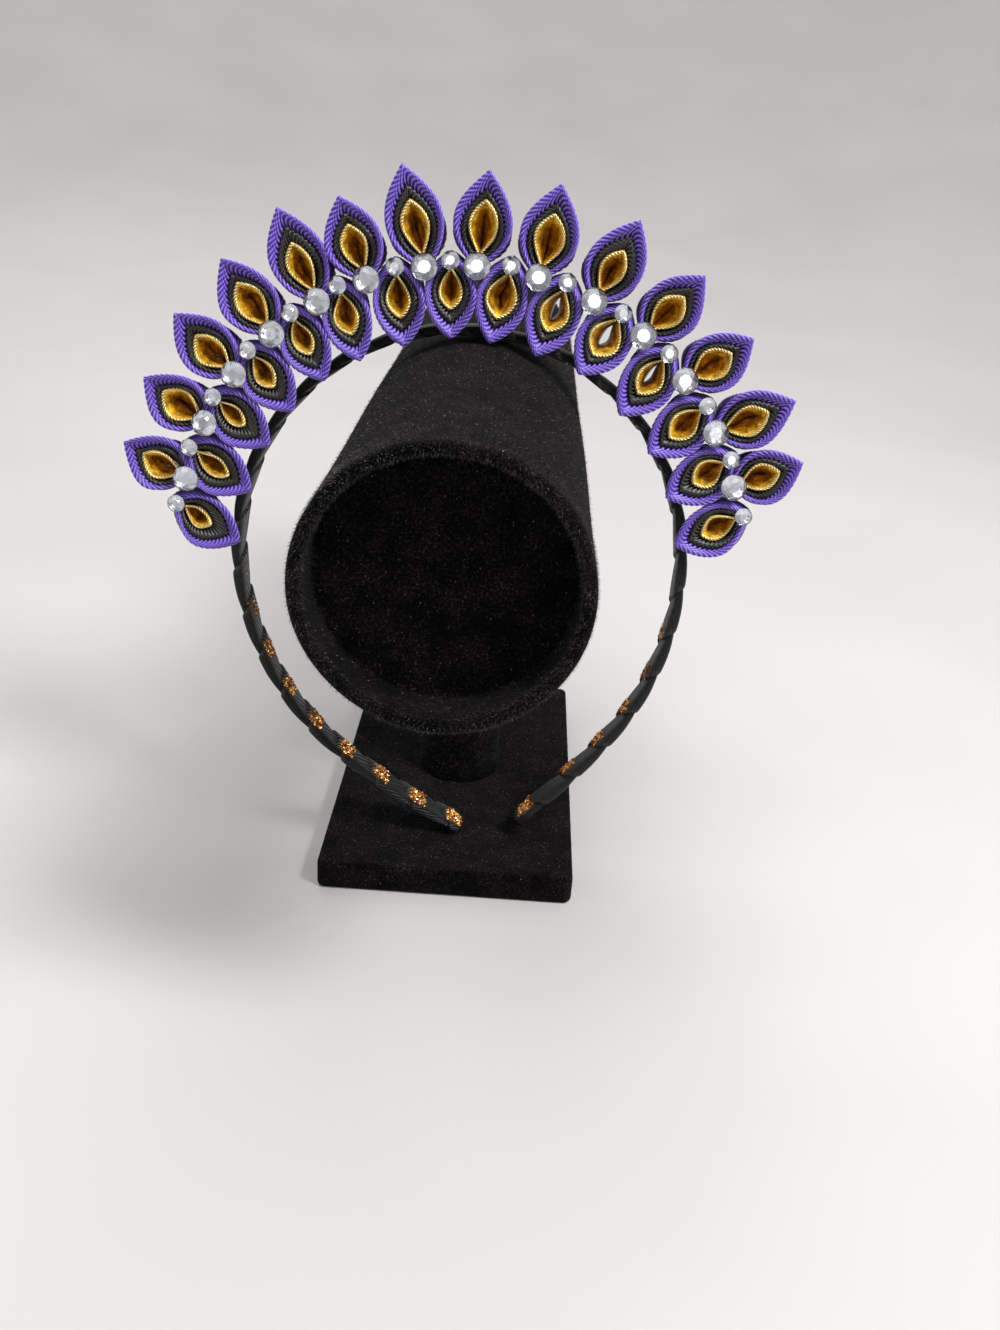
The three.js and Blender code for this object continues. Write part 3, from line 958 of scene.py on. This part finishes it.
# The rim runs from dark brown in the grooves between the ribs to pale yellow on their crests: painted shade
# in the grooves and painted highlights on the crests.
edge = ramp(
    tree, attribute(tree, "ridge"),
    (0.1, (0.24, 0.11, 0.015)), (0.5, (0.85, 0.58, 0.17)), (1.0, (1.0, 0.93, 0.58)),
)
paint(tree, surface, mixed(tree, attribute(tree, "rim"), satin_with_painted_light, edge))
raise_by(tree, surface, grain, 0.00018)

RIBBONS = {
    "purple": (purple_ribbon, "purple_ribbon"),
    "black": (black_ribbon, "black_ribbon"),
    "gold": (gold_ribbon, "gold_ribbon"),
}
for row, pockets in POCKETS.items():
    for number, pocket in enumerate(pockets, 1):
        name = f"{row}_petal_{number:02d}"
        place = petal_place(name, row)
        luck = random.Random(name)
        for ribbon, (finish, slot) in RIBBONS.items():
            made = fold_wall(name, row, ribbon, place, pocket, luck)
            grow(
                made, rib_tree, Rib_pitch=RIB_PITCH[ribbon] * MM, Rib_height=RIB_HEIGHT[ribbon] * MM,
                Material=finish,
            )
            attach(made, slot, *([name] if ribbon == "purple" else []))

# Stones
# Clear round flat-back stones, cut with a table and three rings of facets over a silvered back, glued on
# the petals' feet: large ones on the outer row, small ones on the inner row.
STONE_CUTS = 8
STONE_BACK_SHARE = 0.985
STONE_BACK_WITHIN = 0.01
STONE_GIRDLE_SHARE = 0.2
STONE_SHOULDER = (0.8, 0.66)
STONE_TABLE = 0.52
STONE_TILT = math.radians(5)
STONE_SPREAD = 1.05
STONE_COUNTS = {"large": 14, "small": 15}


def stone_mesh(name, radius, height):
    """One stone, its back on the XY plane and marked as foil: girdle, lower facets, stars and table."""
    def ring(count, share, level, offset):
        """One level of corners, turned by a share of the step between them."""
        return [
            (
                radius * share * math.cos(2 * math.pi * (k + offset) / count),
                radius * share * math.sin(2 * math.pi * (k + offset) / count),
                level,
            )
            for k in range(count)
        ]

    double = 2 * STONE_CUTS
    girdle = height * STONE_GIRDLE_SHARE
    points = ring(double, STONE_BACK_SHARE, 0.0, 0) + ring(double, 1.0, girdle, 0)
    points += ring(STONE_CUTS, STONE_SHOULDER[0], height * STONE_SHOULDER[1], 0.5)
    points += ring(STONE_CUTS, STONE_TABLE, height, 0)
    top, shoulder, table = double, 2 * double, 2 * double + STONE_CUTS
    faces = [tuple(reversed(range(double))), tuple(range(table, table + STONE_CUTS))]
    for k in range(double):
        n = (k + 1) % double
        faces.append((k, n, top + n, top + k))
    for k in range(STONE_CUTS):
        n = (k + 1) % STONE_CUTS
        even, odd, after = top + 2 * k, top + 2 * k + 1, top + 2 * n
        faces += [(even, odd, shoulder + k), (odd, after, shoulder + k)]
        faces += [(after, shoulder + n, shoulder + k), (table + n, shoulder + k, shoulder + n)]
        faces.append((table + k, shoulder + k, table + n))
    mesh = bpy.data.meshes.new(name)
    mesh.from_pydata([Vector(p) * MM for p in points], [], faces)
    foil = mesh.attributes.new("foil", "BOOLEAN", "FACE")
    foil.data.foreach_set("value", [True] + [False] * (len(faces) - 1))
    return mesh


stone_tree, given, result = new_tree("set_stones", Stone="Object", Clear="Material", Foil="Material")
stone = add_node(stone_tree, "GeometryNodeObjectInfo", {"Object": given.outputs["Stone"]})
aim = add_node(
    stone_tree, "FunctionNodeEulerToRotation", {"Euler": stored(stone_tree, "aim", "FLOAT_VECTOR")}
)
placed = add_node(
    stone_tree, "GeometryNodeInstanceOnPoints",
    {
        "Points": given.outputs["Geometry"],
        "Instance": stone.outputs["Geometry"],
        "Rotation": aim.outputs[0],
    },
)
backed = add_node(
    stone_tree, "GeometryNodeSetMaterial",
    {
        "Geometry": real_mesh(stone_tree, placed.outputs["Instances"], given.outputs["Clear"]),
        "Selection": stored(stone_tree, "foil", "BOOLEAN"),
        "Material": given.outputs["Foil"],
    },
)
stone_tree.links.new(backed.outputs["Geometry"], result.inputs["Geometry"])

clear_stone, tree, surface = finish_nodes("clear_stone", Roughness=0.03, IOR=1.52, Transmission_Weight=1.0)
cloud = ramp(tree, noise(tree, 240), (0.35, (0.9, 0.93, 1.0)), (0.65, (1.0, 0.99, 0.97)))
paint(tree, surface, cloud)
silver_foil, tree, surface = finish_nodes("silver_foil", Metallic=1.0, Roughness=0.16)
cloud = ramp(tree, noise(tree, 900), (0.3, (0.62, 0.65, 0.72)), (0.7, (0.84, 0.84, 0.85)))
paint(tree, surface, cloud)

for size, count in STONE_COUNTS.items():
    names = [f"{size}_stone_{number:02d}" for number in range(1, count + 1)]
    luck = random.Random(size)
    seats = []
    aims = []
    for name in names:
        points = [v.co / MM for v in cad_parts[name].data.vertices]
        depths = [p.dot(lean_front) for p in points]
        low, high = min(depths), max(depths)
        back = [p for p in points if p.dot(lean_front) < low + STONE_BACK_WITHIN]
        middle = sum(back, Vector()) / len(back)
        radius = max((p - middle).length for p in back) * STONE_SPREAD
        height = high - low
        seats.append(middle)
        tips = [luck.uniform(-1, 1) * STONE_TILT for _ in range(2)]
        spin = Euler((*tips, luck.uniform(0, WIDEST_SPIN)))
        basis = Matrix((rightwards, lean_up, lean_front)).transposed()
        aims.append((basis @ spin.to_matrix()).to_euler())
    cut = stone_mesh(f"{size}_stone_pattern", radius, height)
    pattern = bpy.data.objects.new(cut.name, cut)
    set_of_stones = piece(f"{size}_stones", seats, [])
    layer = set_of_stones.data.attributes.new("aim", "FLOAT_VECTOR", "POINT")
    layer.data.foreach_set("vector", [angle for aim in aims for angle in aim])
    grow(set_of_stones, stone_tree, Stone=pattern, Clear=clear_stone, Foil=silver_foil)
    bpy.data.objects.remove(pattern)
    attach(set_of_stones, "clear_stone", *names)

# Floor and light
# A plain pale round floor that sweeps up into a backdrop on every side, and soft studio light: a broad
# light overhead, a key light high on the right, weaker ones on the left and behind, a panel in front that
# the stones catch, and four lights that wash the backdrop.
FLOOR_SIDES = 96
FLOOR_MIDDLE = 100
SWEEP_STEPS = 24
FLOOR_RADIUS = 700
SWEEP_RADIUS = 2400
BACKDROP_TOP = 2600
sweep = [(FLOOR_MIDDLE, 0)]
sweep += arc(FLOOR_RADIUS, SWEEP_RADIUS, SWEEP_RADIUS, -90, 0, SWEEP_STEPS)
sweep += [(FLOOR_RADIUS + SWEEP_RADIUS, BACKDROP_TOP)]
floor_rings = [
    [
        (r * math.cos(2 * math.pi * k / FLOOR_SIDES), -r * math.sin(2 * math.pi * k / FLOOR_SIDES), h)
        for k in range(FLOOR_SIDES)
    ]
    for r, h in sweep
]
# The cap at the top is left off, so that the backdrop is open above.
floor_points, floor_faces = join_rings(floor_rings)
floor = piece("floor", floor_points[:-1], floor_faces[:-FLOOR_SIDES])
paper, tree, surface = finish_nodes("pale_floor", Roughness=0.8)
paint(tree, surface, ramp(tree, noise(tree, 6), (0.3, (0.43, 0.42, 0.41)), (0.7, (0.46, 0.45, 0.44))))
floor.data.materials.append(paper)

# Each light's name, place, what it points at, width and power, in metres and watts.
LIGHTS = (
    ("key_light", (0.5, -0.4, 0.85), (0, 0, 0.1), 0.3, 11.0),
    ("fill_light", (-0.9, -0.6, 0.6), (0, 0, 0.1), 0.8, 1.1),
    ("back_light", (-0.3, 0.8, 0.9), (0, 0, 0.1), 0.6, 4.0),
    ("front_panel", (0.1, -1.5, 0.62), (0, 0, 0.15), 0.7, 2.8),
    ("top_light", (0, 0.3, 2.6), (0, 0.3, 0), 3.2, 28.0),
    ("backdrop_light_behind", (0, 0.9, 2.3), (0, 2.6, 0.7), 1.6, 22.0),
    ("backdrop_light_left", (-0.9, 0, 2.3), (-2.6, 0, 0.7), 1.6, 17.0),
    ("backdrop_light_right", (0.9, 0, 2.3), (2.6, 0, 0.7), 1.6, 17.0),
    ("backdrop_light_front", (0, -0.9, 2.3), (0, -2.6, 0.7), 1.6, 13.0),
)
for name, place, target, size, power in LIGHTS:
    lamp = bpy.data.lights.new(name, "AREA")
    lamp.size = size
    lamp.energy = power
    light = bpy.data.objects.new(name, lamp)
    light.location = place
    light.rotation_euler = (Vector(target) - Vector(place)).to_track_quat("-Z", "Y").to_euler()
    bpy.context.scene.collection.objects.link(light)
world = bpy.data.worlds.new("studio")
world.use_nodes = True
sky = world.node_tree.nodes["Background"]
sky.inputs["Color"].default_value = (0.9, 0.93, 1.0, 1.0)
sky.inputs["Strength"].default_value = 0.2
bpy.context.scene.world = world
bpy.context.scene.view_settings.view_transform = "Standard"
